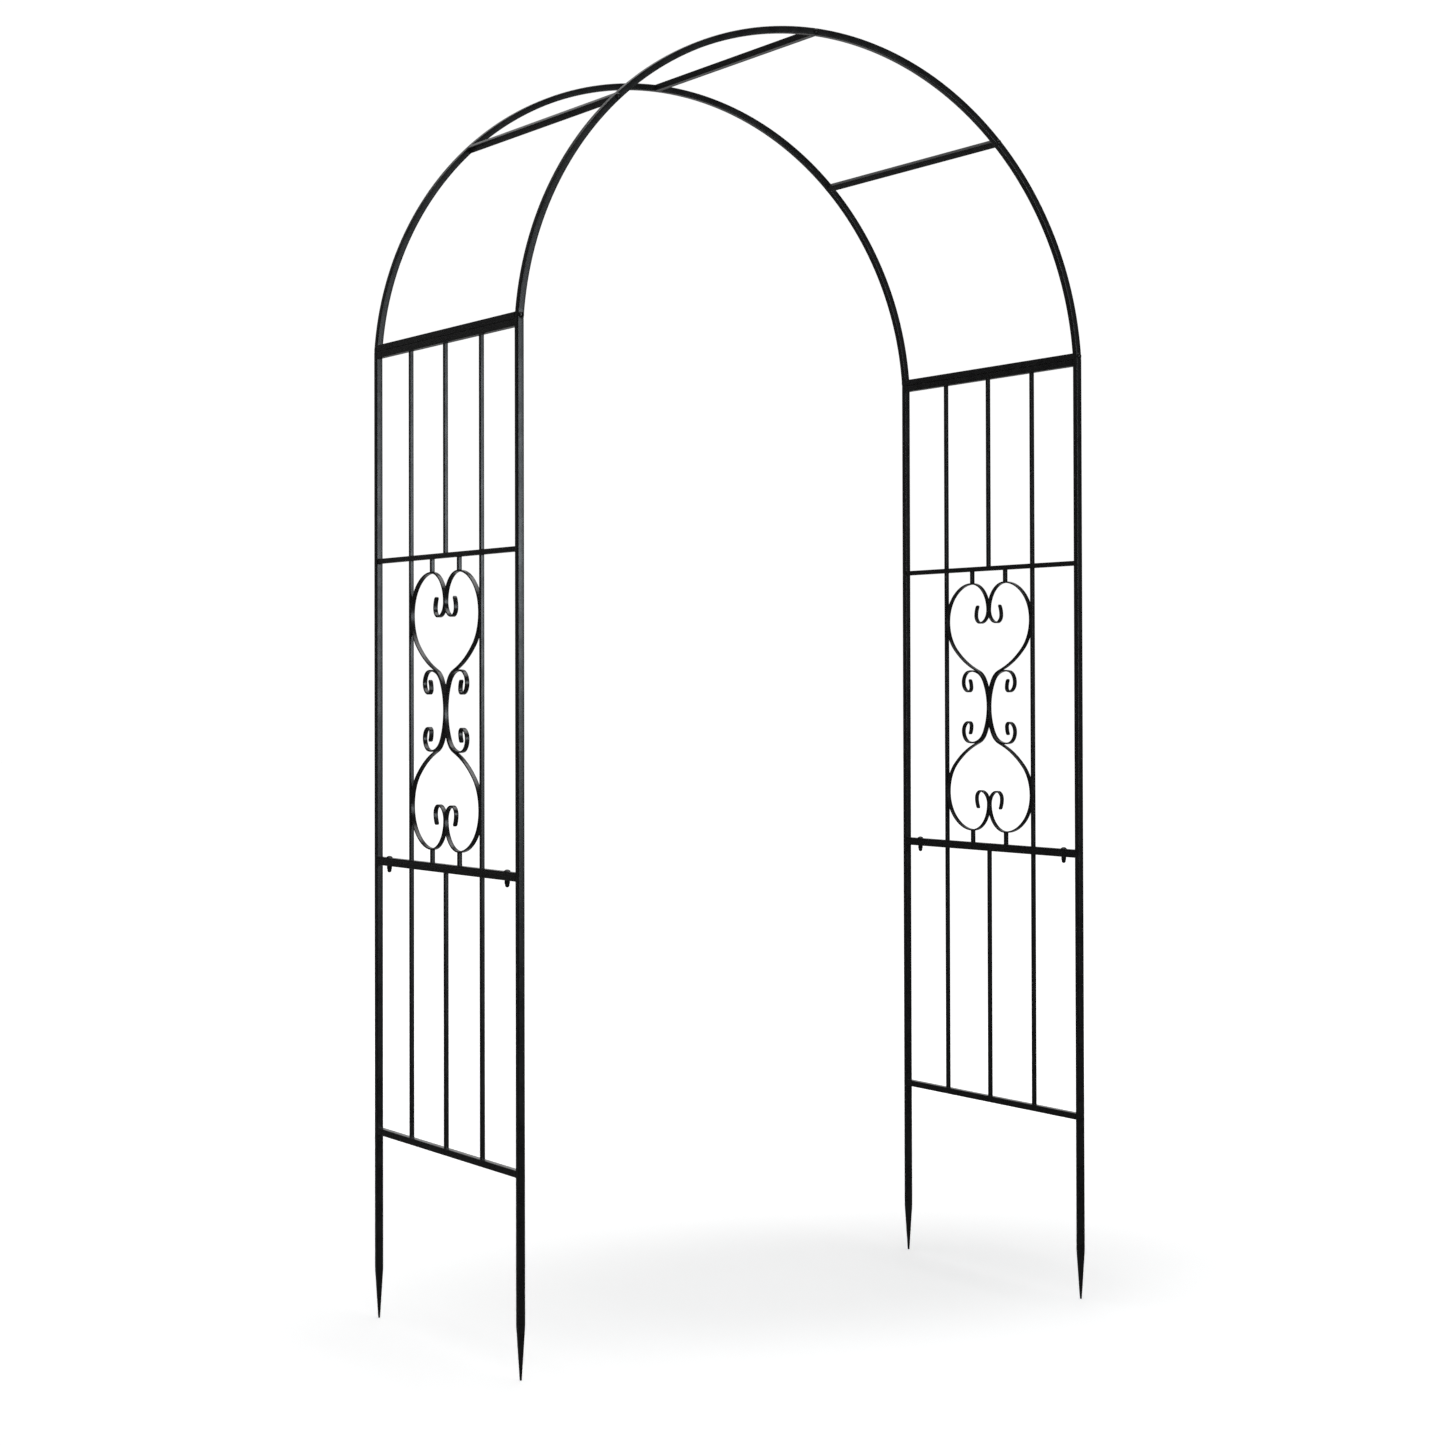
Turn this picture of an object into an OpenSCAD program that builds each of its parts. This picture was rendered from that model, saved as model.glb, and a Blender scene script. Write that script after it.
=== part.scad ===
// Garden trellis arch: two panelled sides, joined overhead by two hoops and three crossbars.
// Origin on the ground at the centre of the footprint, +X to the right along the span, +Y to the rear, +Z up.

/* [Overall] */
// Distance between the left and right post centres
span = 1165; // [1100:5:1230]
// Distance between the front and rear post centres
depth = 562; // [554:1:570]
// Height of the split between the lower and upper posts
mid_joint_z = 831.5; // [780:0.5:860]
// Height of the split between the upper posts and the hoops
top_joint_z = 1750; // [1720:0.5:1780]
// Inward lean of the hoops where they stand on the posts, in degrees
hoop_lean = 3.9; // [2:0.1:6]

/* [Tube] */
// Side of the square tube of posts, hoops, main rails and crossbars
tube = 12; // [11:0.5:13]
// Wall of the square tubes
wall = 1; // [0.8:0.1:1.2]
// Outer corner radius of the main tube
corner = 1.5; // [1:0.1:2]
// Side of the thin middle rail
thin_tube = 9; // [8.6:0.1:10]
// Side of the vertical bars and of the stubs
bar = 7; // [6:0.1:7.2]
// Wall of the vertical bars
bar_wall = 0.8; // [0.6:0.1:1]

/* [Feet and rails] */
// Height of the tapered spike at the foot of each post
spike_h = 90; // [60:5:120]
// Side of the blunt tip of the spike
spike_tip = 3; // [2:0.5:5]
// Centre height of the bottom rail
bottom_rail_z = 338; // [300:1:380]
// Centre height of the thin middle rail
middle_rail_z = 1369.5; // [1365:0.5:1374]
// Thickness of the flat strip at the foot of the upper panel
strip_t = 3; // [2:0.5:4]
// Width of the flat strip at the foot of each upper panel
strip_w = 10; // [8:0.5:12]

/* [Hoops and crossbars] */
// Angle of the side crossbars from the crown, in degrees
crossbar_angle = 43; // [35:1:50]
// Opening of the split at the crown, in degrees for each hoop half
crown_gap_angle = 2.5; // [1:0.5:4]

/* [Scrollwork] */
// Thickness of the scroll strip
scroll_t = 3; // [2:0.5:3.5]
// Width of the scroll strip
scroll_w = 8; // [6:0.5:10]
// Distance of the stubs from the middle of the panel
stub_y = 54; // [50:1:58]

/* [Fasteners] */
// Diameter of the bolt and screw shanks
shank_d = 4.8; // [4:0.1:5]
// Diameter of the clearance holes
hole_d = 5.4; // [5.2:0.1:6]
// Head diameter of the rail bolts
bolt_head_d = 11.5; // [9:0.5:12]
// Head height of the rail bolts
bolt_head_h = 3.3; // [2.5:0.1:4]
// Head diameter of the pan head screws
pan_head_d = 10.5; // [9:0.5:11]
// Head height of the pan head screws
pan_head_h = 3; // [2.5:0.1:4]
// Distance of the rail bolts from the post centres
rail_bolt_inset = 46.5; // [30:0.5:60]

/* [Hidden] */
$fn = 96;
hoop_fn = 240;
side_names = ["left", "right"];
face_names = ["front", "rear"];
half_span = span / 2;
half_depth = depth / 2;
rail_length = depth - tube;
bar_pitch = depth / 4;
bar_numbers = [1, 2, 3];
touch = 0.05;
curve_tolerance = 0.03;
thin_corner = 1;
bar_corner = 0.6;

// Reduced ends that join one tube to the next
bore = tube - 2 * wall;
inner_corner = 0.5;
spigot_fit = 0.2;
spigot_h = 40;
spigot_root_h = 10;
crown_spigot_angle = 2.4;
top_spigot_angle = 2;
spigot_lap = 1;
crown_root_start = 90.3;
root_overlap = 0.4;

// Hoop geometry, in the plane of a hoop
joint_screw_z = top_joint_z + 5.8;
hoop_r = half_span / cos(hoop_lean);
hoop_z = top_joint_z - hoop_r * sin(hoop_lean);
joint_screw_x = sqrt(pow(hoop_r, 2) - pow(joint_screw_z - hoop_z, 2));

// Panel levels
lower_top_rail_z = mid_joint_z - tube / 2;
upper_floor_z = mid_joint_z + strip_t;
upper_top_rail_z = top_joint_z - tube / 2;
arch_base_rail_z = top_joint_z + tube / 2;
scroll_middle_z = (upper_floor_z + middle_rail_z - thin_tube / 2) / 2;
scroll_half_h = middle_rail_z - thin_tube / 2 - scroll_middle_z;

// Fastener details
bar_hole = bar + 0.2;
thread_d = 5;
end_plate_t = 4;
crossbar_screw_length = 16;
joint_screw_length = 8;
nut_across_corners = 9.2;
nut_hex_h = 6;
nut_collar_h = 2;
nut_dome_d = 7.6;
nut_depth = 8;
bolt_end_gap = 2;
bolt_rim_h = 0.6;
pan_rim_h = 0.9;
recess_w = 1.1;
recess_length = 5.6;
recess_depth = 1.6;

// C-scroll: the upper half of one scroll, from the middle of the panel to its curled end.
// Each step is [radius, angle], left turns positive, right turns negative.
c_body_r = 100;
c_body_turn = 30;
c_shoulder_r = 38;
c_scroll_steps = [
    [-c_body_r, c_body_turn],
    [-c_shoulder_r, 40],
    [-60, 30],
    [-22, 80],
    [-18, 90],
    [-8, 90],
    [-30, 32]
];
c_scroll_start = [scroll_t / 2 + touch, 0, 90];

// Heart half: it starts between the C-scrolls, lies along one of them as far as its shoulder,
// runs out to the bar, turns over at the top and ends in a hook.
scroll_pitch = scroll_t + touch;
heart_body_r = c_body_r + scroll_pitch;
heart_start_turn = acos(c_body_r / heart_body_r);
heart_leave_turn = 40;
heart_lead_r = 200;
heart_lead_turn = 22;
heart_side_r = 74;
heart_bulge_r = 67.5;
heart_lobe_r = 52.4;
heart_outer_y = bar_pitch - bar / 2 - scroll_t / 2 - touch;
heart_shoulder_r = (heart_outer_y - stub_y - heart_bulge_r * (1 - cos(45))) / sin(45);
heart_start = on_arc(arc_centre(c_scroll_start, -c_body_r), -heart_body_r, 90 - heart_start_turn);
heart_lower_steps = [
    [-heart_body_r, c_body_turn - heart_start_turn],
    [-c_shoulder_r - scroll_pitch, heart_leave_turn]
];
heart_rise = pose(heart_start, heart_lower_steps, 2);
heart_rise_heading = heart_rise[2];
heart_side_heading = heart_rise_heading + heart_lead_turn;
heart_lead_y = heart_lead_r * (sin(heart_side_heading) - sin(heart_rise_heading));
heart_side_y = heart_side_r * (1 - sin(heart_side_heading));
// The straight run is as long as the distance left to the outermost point of the side
heart_run = (heart_outer_y - heart_side_y - heart_lead_y - heart_rise[0]) / cos(heart_rise_heading);
heart_steps = concat(heart_lower_steps, [
    [0, heart_run],
    [heart_lead_r, heart_lead_turn],
    [heart_side_r, 90 - heart_side_heading],
    [heart_bulge_r, 45],
    [heart_shoulder_r, 45],
    [heart_lobe_r, 90],
    [25, 90],
    [14.4, 90],
    [36, 33]
]);
heart_steps_to_top = 7;
heart_top = pose(heart_start, heart_steps, heart_steps_to_top)[1] + scroll_t / 2;

function side_sign(side) = side == "left" ? -1 : 1;
function face_sign(face) = face == "front" ? -1 : 1;
function dome_r(r, rise) = (r * r + rise * rise) / (2 * rise);

// A pose is [x, y, heading]. These walk along a chain of arcs and straight runs.
function arc_centre(p, r) = [p[0] - r * sin(p[2]), p[1] + r * cos(p[2])];
function on_arc(c, r, heading) = [c[0] + r * sin(heading), c[1] - r * cos(heading), heading];
function step_on(p, step) = step[0] == 0
    ? [p[0] + step[1] * cos(p[2]), p[1] + step[1] * sin(p[2]), p[2]]
    : on_arc(arc_centre(p, step[0]), step[0], p[2] + sign(step[0]) * step[1]);
function pose(start, steps, count) = count == 0
    ? start
    : step_on(pose(start, steps, count - 1), steps[count - 1]);

// The poses along a chain, close enough together to follow each arc within the tolerance
function along_step(p, step) = step[0] == 0
    ? [step_on(p, step)]
    : let (count = ceil(step[1] / (2 * acos(1 - curve_tolerance / abs(step[0])))))
        [for (k = [1:count]) step_on(p, [step[0], step[1] * k / count])];
function along(start, steps) = concat(
    [start],
    [for (i = [0:len(steps) - 1]) each along_step(pose(start, steps, i), steps[i])]
);
// One long side of a strip: its path moved sideways, to the left for a positive distance
function strip_side(path, distance) = [
    for (p = path) [p[0] - distance * sin(p[2]), p[1] + distance * cos(p[2])]
];
function reversed(points) = [for (i = [len(points) - 1:-1:0]) points[i]];
function flipped(points) = [for (p = points) [p[0], -p[1]]];
function tail(points) = [for (i = [1:len(points) - 1]) points[i]];

function rounded_square(side, r) = [
    for (k = [0:3], j = [0:3])
        let (turn = 90 * k + 30 * j, reach = (side / 2 - r) * sqrt(2))
            [reach * cos(90 * k + 45) + r * cos(turn), reach * sin(90 * k + 45) + r * sin(turn)]
];

module tube_section(outer, inner, r) {
    difference() {
        polygon(rounded_square(outer, r));
        polygon(rounded_square(inner, inner_corner));
    }
}

module tube_run(length, outer = tube, thickness = wall, r = corner) {
    linear_extrude(length) tube_section(outer, outer - 2 * thickness, r);
}

// A tube along Y, centred on its own middle
module cross_tube(length, outer = tube, thickness = wall, r = corner) {
    translate([0, length / 2, 0]) rotate([90, 0, 0]) tube_run(length, outer, thickness, r);
}

// The reduced end of a tube: a root that fills the bore, then a loose fit in the next tube
module spigot(height) {
    translate([0, 0, -spigot_root_h]) tube_run(spigot_root_h, bore, wall, inner_corner);
    tube_run(height, bore - 2 * spigot_fit, wall - spigot_fit, inner_corner);
}

// A four-sided taper, as the overlap of two extruded wedges
module spike() {
    intersection() {
        rotate([90, 0, 0]) spike_wedge();
        rotate([90, 0, 90]) spike_wedge();
    }
}

module spike_wedge() {
    outline = [[-spike_tip / 2, 0], [spike_tip / 2, 0], [tube / 2, spike_h], [-tube / 2, spike_h]];
    translate([0, 0, -tube]) linear_extrude(2 * tube) polygon(outline);
}

module lower_post(side, face) {
    color("#1c1c1d") translate([side_sign(side) * half_span, face_sign(face) * half_depth, 0]) {
        spike();
        translate([0, 0, spike_h]) tube_run(mid_joint_z - spike_h);
        translate([0, 0, mid_joint_z]) spigot(spigot_h);
    }
}

module upper_post(side, face) {
    color("#1c1c1d") translate([0, face_sign(face) * half_depth, 0]) {
        translate([side_sign(side) * half_span, 0, mid_joint_z]) {
            tube_run(top_joint_z - mid_joint_z);
            translate([0, 0, top_joint_z - mid_joint_z - spigot_root_h])
                tube_run(spigot_root_h, bore, wall / 2, inner_corner);
        }
        difference() {
            on_side(side) above(top_joint_z - spigot_lap) hoop_arc(180 - hoop_lean - top_spigot_angle, 180)
                tube_section(bore - 2 * spigot_fit, bore - 2 * wall, inner_corner);
            translate([side_sign(side) * joint_screw_x, 0, joint_screw_z]) outer_face_hole(face, thread_d);
        }
    }
}

// Stands the plane of a left hoop half upright, on the given side
module on_side(side) {
    mirror([side == "right" ? 1 : 0, 0, 0]) rotate([90, 0, 0]) children();
}

// Cuts away what lies below a height, in the plane of the hoop
module above(z) {
    difference() {
        children();
        translate([-hoop_r - tube, hoop_z - tube, -tube]) cube([2 * tube, z - hoop_z + tube, 2 * tube]);
    }
}

// A hole through the outer half of a tube only
module outer_face_hole(face, d) {
    rotate([face_sign(face) * -90, 0, 0]) cylinder(h = tube, d = d);
}

// A stretch of the arch, in the plane of the hoop, with the section given as a child
module hoop_arc(from_angle, to_angle) {
    translate([0, hoop_z]) rotate(from_angle)
        rotate_extrude(angle = to_angle - from_angle, $fn = hoop_fn) translate([hoop_r, 0]) children();
}

// One left hoop half, in the plane of the hoop: x across, y up
module hoop_half_shape(has_spigot) {
    difference() {
        above(top_joint_z) hoop_arc(90, 180) tube_section(tube, bore, corner);
        translate([0, hoop_z + hoop_r - tube / 2]) rotate(crown_gap_angle)
            translate([0, -tube, -tube]) cube([tube, 3 * tube, 2 * tube]);
    }
    if (has_spigot) {
        hoop_arc(crown_root_start, 90 + crown_spigot_angle) tube_section(bore + root_overlap, bore - wall, inner_corner);
        hoop_arc(90 - crown_spigot_angle, 90 + crown_spigot_angle)
            tube_section(bore - 2 * spigot_fit, bore - 2 * wall, inner_corner);
    }
}

module hoop_half(side, face) {
    color("#1a1a1b") translate([0, face_sign(face) * half_depth, 0]) difference() {
        on_side(side) hoop_half_shape(side == "left");
        for (angle = [-crossbar_angle, 0, crossbar_angle]) at_crossbar(angle)
            rotate([90, 0, 0]) cylinder(h = 2 * tube, d = hole_d, center = true);
        translate([side_sign(side) * joint_screw_x, 0, joint_screw_z]) outer_face_hole(face, hole_d);
    }
}

// Places its children on the hoop's centre line, at an angle from the crown, with +Z pointing outwards
module at_crossbar(angle) {
    translate([0, 0, hoop_z]) rotate([0, angle, 0]) translate([0, 0, hoop_r]) children();
}

module crossbar(angle) {
    color("#1a1a1b") at_crossbar(angle) difference() {
        union() {
            cross_tube(rail_length);
            for (face = face_names) translate([0, face_sign(face) * (rail_length - end_plate_t) / 2, 0])
                cube([tube - wall, end_plate_t, tube - wall], center = true);
        }
        for (face = face_names) translate([0, face_sign(face) * (rail_length / 2 - end_plate_t - 1), 0])
            outer_face_hole(face, thread_d);
    }
}

module rail(side, z) {
    color("#1b1b1c") translate([side_sign(side) * half_span, 0, z]) children();
}

module bottom_rail(side) {
    rail(side, bottom_rail_z) cross_tube(rail_length);
}

module lower_top_rail(side) {
    rail(side, lower_top_rail_z) difference() {
        cross_tube(rail_length);
        rail_bolt_holes();
    }
}

module joint_strip(side) {
    rail(side, mid_joint_z + strip_t / 2) difference() {
        cube([strip_w, rail_length, strip_t], center = true);
        rail_bolt_holes();
    }
}

module rail_bolt_holes() {
    for (face = face_names) translate([0, face_sign(face) * (half_depth - rail_bolt_inset), 0])
        cylinder(h = 2 * tube, d = hole_d, center = true);
}

module middle_rail(side) {
    rail(side, middle_rail_z) difference() {
        cross_tube(rail_length, thin_tube, wall, thin_corner);
        for (face = face_names) translate([0, face_sign(face) * bar_pitch, 0])
            cube([bar_hole, bar_hole, 2 * thin_tube], center = true);
    }
}

module upper_top_rail(side) {
    rail(side, upper_top_rail_z) cross_tube(rail_length);
}

module arch_base_rail(side) {
    rail(side, arch_base_rail_z) cross_tube(rail_length);
}

module vertical_bar(side, number, from_z, to_z) {
    color("#1c1c1d") translate([side_sign(side) * half_span, (number - 2) * bar_pitch, from_z])
        tube_run(to_z - from_z, bar, bar_wall, bar_corner);
}

module lower_bar(side, number) {
    vertical_bar(side, number, bottom_rail_z + tube / 2, lower_top_rail_z - tube / 2);
}

module upper_bar(side, number) {
    foot_z = number == 2 ? middle_rail_z + thin_tube / 2 : upper_floor_z;
    vertical_bar(side, number, foot_z, upper_top_rail_z - tube / 2);
}

module strip(outline) {
    linear_extrude(scroll_w, center = true) polygon(outline);
}

// Turns a panel drawing (x to the rear, y up from the middle of the scrollwork) into its place
module in_panel(side, face, level) {
    translate([side_sign(side) * half_span, 0, scroll_middle_z])
        mirror([0, face == "front" ? 1 : 0, 0])
            mirror([0, 0, level == "lower" ? 1 : 0])
                rotate([90, 0, 90]) children();
}

module heart_strip(side, level, face) {
    path = along(heart_start, heart_steps);
    outline = concat(strip_side(path, scroll_t / 2), reversed(strip_side(path, -scroll_t / 2)));
    color("#1c1c1d") in_panel(side, face, level) strip(outline);
}

module c_scroll(side, face) {
    path = along(c_scroll_start, c_scroll_steps);
    inner = strip_side(path, scroll_t / 2);
    outer = strip_side(path, -scroll_t / 2);
    outline = concat(inner, reversed(outer), flipped(tail(outer)), flipped(reversed(tail(inner))));
    color("#1c1c1d") in_panel(side, face, "upper") strip(outline);
}

module scroll_stubs(side, level) {
    color("#1c1c1d") for (face = face_names) in_panel(side, face, level)
        translate([stub_y, heart_top, 0]) rotate([-90, 0, 0])
            linear_extrude(scroll_half_h - heart_top) square(bar, center = true);
}

// A domed head with a flat rim, resting on the plane z = 0
module domed_head(d, h, rim) {
    ball_r = dome_r(d / 2, h - rim);
    intersection() {
        cylinder(h = h, d = d);
        translate([0, 0, h - ball_r]) sphere(ball_r);
    }
}

module rail_bolts() {
    length = strip_t + tube + nut_depth - bolt_end_gap;
    color("#2a2a2b") for (side = side_names, face = face_names)
        translate([side_sign(side) * half_span, face_sign(face) * (half_depth - rail_bolt_inset), upper_floor_z]) {
            domed_head(bolt_head_d, bolt_head_h, bolt_rim_h);
            translate([0, 0, -length]) cylinder(h = length, d = shank_d);
        }
}

module cap_nut() {
    difference() {
        union() {
            translate([0, 0, -nut_hex_h]) cylinder(h = nut_hex_h, d = nut_across_corners, $fn = 6);
            translate([0, 0, -nut_hex_h - nut_collar_h]) cylinder(h = nut_collar_h + 0.5, d = nut_dome_d);
            translate([0, 0, -nut_hex_h - nut_collar_h]) sphere(d = nut_dome_d);
        }
        translate([0, 0, -nut_depth]) cylinder(h = nut_depth + 1, d = thread_d);
    }
}

module cap_nuts() {
    color("#2a2a2b") for (side = side_names, face = face_names)
        translate([
            side_sign(side) * half_span,
            face_sign(face) * (half_depth - rail_bolt_inset),
            lower_top_rail_z - tube / 2
        ]) cap_nut();
}

// A cross-recessed pan head screw: the head rests on z = 0 and the shank points down
module pan_screw(length) {
    difference() {
        domed_head(pan_head_d, pan_head_h, pan_rim_h);
        translate([0, 0, pan_head_h]) {
            cube([recess_length, recess_w, 2 * recess_depth], center = true);
            cube([recess_w, recess_length, 2 * recess_depth], center = true);
        }
    }
    translate([0, 0, -length]) cylinder(h = length, d = shank_d);
}

module crossbar_screws() {
    color("#2a2a2b") for (face = face_names, angle = [-crossbar_angle, 0, crossbar_angle])
        translate([0, face_sign(face) * (half_depth + tube / 2), 0]) at_crossbar(angle)
            rotate([face_sign(face) * -90, 0, 0]) pan_screw(crossbar_screw_length);
}

module joint_screws() {
    color("#2a2a2b") for (side = side_names, face = face_names)
        translate([side_sign(side) * joint_screw_x, face_sign(face) * (half_depth + tube / 2), joint_screw_z])
            rotate([face_sign(face) * -90, 0, 0]) pan_screw(joint_screw_length);
}

for (side = side_names, face = face_names) {
    lower_post(side, face);
    upper_post(side, face);
    hoop_half(side, face);
    c_scroll(side, face);
    heart_strip(side, "upper", face);
    heart_strip(side, "lower", face);
}
for (side = side_names) {
    bottom_rail(side);
    lower_top_rail(side);
    joint_strip(side);
    middle_rail(side);
    upper_top_rail(side);
    arch_base_rail(side);
    scroll_stubs(side, "upper");
    scroll_stubs(side, "lower");
}
for (side = side_names, number = bar_numbers) {
    lower_bar(side, number);
    upper_bar(side, number);
}
crossbar(-crossbar_angle);  // crossbar_left
crossbar(0);  // crossbar_crown
crossbar(crossbar_angle);  // crossbar_right
rail_bolts();
cap_nuts();
joint_screws();
crossbar_screws();
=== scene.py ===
"""Looks of a garden trellis arch: coated tubes, scrollwork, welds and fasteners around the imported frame."""

import math

import bmesh
import bpy
from mathutils import Matrix, Vector, noise


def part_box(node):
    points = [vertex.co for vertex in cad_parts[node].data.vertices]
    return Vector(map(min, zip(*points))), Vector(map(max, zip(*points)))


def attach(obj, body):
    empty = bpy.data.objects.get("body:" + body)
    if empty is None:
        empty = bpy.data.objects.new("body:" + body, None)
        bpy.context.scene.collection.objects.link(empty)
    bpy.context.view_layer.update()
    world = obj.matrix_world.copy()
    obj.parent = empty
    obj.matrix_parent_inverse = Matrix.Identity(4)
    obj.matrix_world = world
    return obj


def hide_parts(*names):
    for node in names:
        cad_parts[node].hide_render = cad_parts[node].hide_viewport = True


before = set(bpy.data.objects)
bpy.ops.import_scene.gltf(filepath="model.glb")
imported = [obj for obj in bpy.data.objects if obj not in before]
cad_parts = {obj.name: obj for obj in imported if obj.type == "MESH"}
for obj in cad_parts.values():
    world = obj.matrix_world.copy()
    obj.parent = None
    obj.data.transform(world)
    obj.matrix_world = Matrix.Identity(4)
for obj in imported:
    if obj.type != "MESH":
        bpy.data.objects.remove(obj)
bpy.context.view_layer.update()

MM = 0.001
X, Y, Z = Vector((1, 0, 0)), Vector((0, 1, 0)), Vector((0, 0, 1))
SIDES = {"left": -1, "right": 1}
FACES = {"front": -1, "rear": 1}
LEVELS = {"upper": 1, "lower": -1}

# ---------------------------------------------------------------- sizes that the frame gives


def centre_of(node):
    low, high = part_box(node)
    return (low + high) / 2


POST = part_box("lower_post_front_right")
TUBE = POST[1].x - POST[0].x
POST_X = centre_of("lower_post_front_right").x
POST_Y = centre_of("lower_post_rear_right").y
MID_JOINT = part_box("joint_strip_right")[0].z
TOP_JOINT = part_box("arch_base_rail_right")[0].z
PANEL_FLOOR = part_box("joint_strip_right")[1].z
MIDDLE_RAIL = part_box("middle_rail_right")
SCROLL_W = MIDDLE_RAIL[0].z - PANEL_FLOOR
SCROLL_MIDDLE = (MIDDLE_RAIL[0].z + PANEL_FLOOR) / 2
BAR_Y = centre_of("lower_bar_right_3").y
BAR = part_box("lower_bar_right_3")[1].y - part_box("lower_bar_right_3")[0].y
STUB_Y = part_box("scroll_stubs_upper_right")[1].y - BAR / 2
LOBE_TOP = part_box("scroll_stubs_upper_right")[0].z - SCROLL_MIDDLE

# ---------------------------------------------------------------- sizes of the finish

CORNER = 1.5 * MM
WALL = 1.0 * MM
SPIGOT_FIT = 0.2 * MM
SPIKE_H = 90 * MM
SPIKE_TIP = 3 * MM
TIP_ROUND_H = 0.5 * MM
TIP_ROUND_W = 0.8 * MM
SHOULDER_H = 1.5 * MM
SHOULDER_W = 0.15 * MM
END_ROUND = 0.35 * MM
HOOP_LEAN = math.radians(3.9)
CROWN_GAP = math.radians(2.5)
STRIP_T = 3 * MM
STRIP_W = 8 * MM
STRIP_ROUND = 0.7 * MM
FLAT_STRIP_CORNER = 0.45 * MM
THIN_CORNER = 1.1 * MM
BAR_CORNER = 0.8 * MM
CORNER_STEPS = 6
ARC_STEP = math.radians(1.5)
CURL_STEP = math.radians(4)
STRAIGHT_STEPS = 6
BEAD = 1.15 * MM

# ---------------------------------------------------------------- materials


def new_material(name):
    material = bpy.data.materials.new(name)
    material.use_nodes = True
    nodes = material.node_tree.nodes
    return material, nodes, material.node_tree.links, nodes["Principled BSDF"]


def noise_node(nodes, links, coordinates, scale, detail, roughness=0.5):
    texture = nodes.new("ShaderNodeTexNoise")
    texture.inputs["Scale"].default_value = scale
    texture.inputs["Detail"].default_value = detail
    texture.inputs["Roughness"].default_value = roughness
    links.new(coordinates, texture.inputs["Vector"])
    return texture.outputs["Fac"]


def ramp_node(nodes, links, factor, stops):
    ramp = nodes.new("ShaderNodeValToRGB")
    elements = ramp.color_ramp.elements
    while len(elements) < len(stops):
        elements.new(0.5)
    for element, (position, colour) in zip(elements, stops):
        element.position = position
        element.color = (*colour, 1)
    links.new(factor, ramp.inputs["Fac"])
    return ramp.outputs["Color"]


def range_node(nodes, links, factor, low, high):
    """Spreads a noise's usual range from low to high."""
    spread = nodes.new("ShaderNodeMapRange")
    spread.inputs["From Min"].default_value = 0.3
    spread.inputs["From Max"].default_value = 0.7
    spread.inputs["To Min"].default_value = low
    spread.inputs["To Max"].default_value = high
    links.new(factor, spread.inputs["Value"])
    return spread.outputs["Result"]


def bump_node(nodes, links, height, distance, strength, before=None):
    bump = nodes.new("ShaderNodeBump")
    bump.inputs["Distance"].default_value = distance
    bump.inputs["Strength"].default_value = strength
    links.new(height, bump.inputs["Height"])
    if before is not None:
        links.new(before, bump.inputs["Normal"])
    return bump.outputs["Normal"]


CLOUD_SCALE = 38
PEEL_SCALE = 620
PEEL_DEPTH = 0.03 * MM
GRAIN_SCALE = 2600
GRAIN_DEPTH = 0.006 * MM
GRAIN_STRENGTH = 0.3
PATCH_SCALE = 420
SCRATCH_SCALE = 3000
SCRATCH_DEPTH = 0.03 * MM
SCRATCH_STRENGTH = 0.4


def coated_metal(name, dark, light, smooth, dull, peel):
    """Baked powder coat: near-black, with orange peel, a fine grain and a faintly cloudy sheen."""
    material, nodes, links, shader = new_material(name)
    where = nodes.new("ShaderNodeTexCoord").outputs["Object"]
    cloud = noise_node(nodes, links, where, CLOUD_SCALE, 4)
    peel_height = noise_node(nodes, links, where, PEEL_SCALE, 2)
    grain_height = noise_node(nodes, links, where, GRAIN_SCALE, 1)
    links.new(ramp_node(nodes, links, cloud, [(0.3, dark), (0.72, light)]), shader.inputs["Base Color"])
    links.new(range_node(nodes, links, cloud, smooth, dull), shader.inputs["Roughness"])
    grain = bump_node(nodes, links, grain_height, GRAIN_DEPTH, GRAIN_STRENGTH)
    links.new(bump_node(nodes, links, peel_height, PEEL_DEPTH, peel, grain), shader.inputs["Normal"])
    return material


def worn_metal(name, dark, light, smooth, dull, metallic):
    """Plated steel: a patchy colour and fine scratches."""
    material, nodes, links, shader = new_material(name)
    where = nodes.new("ShaderNodeTexCoord").outputs["Object"]
    patch = noise_node(nodes, links, where, PATCH_SCALE, 5, 0.62)
    scratch = noise_node(nodes, links, where, SCRATCH_SCALE, 2)
    links.new(ramp_node(nodes, links, patch, [(0.35, dark), (0.7, light)]), shader.inputs["Base Color"])
    links.new(range_node(nodes, links, scratch, smooth, dull), shader.inputs["Roughness"])
    links.new(bump_node(nodes, links, scratch, SCRATCH_DEPTH, SCRATCH_STRENGTH), shader.inputs["Normal"])
    shader.inputs["Metallic"].default_value = metallic
    return material


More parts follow.
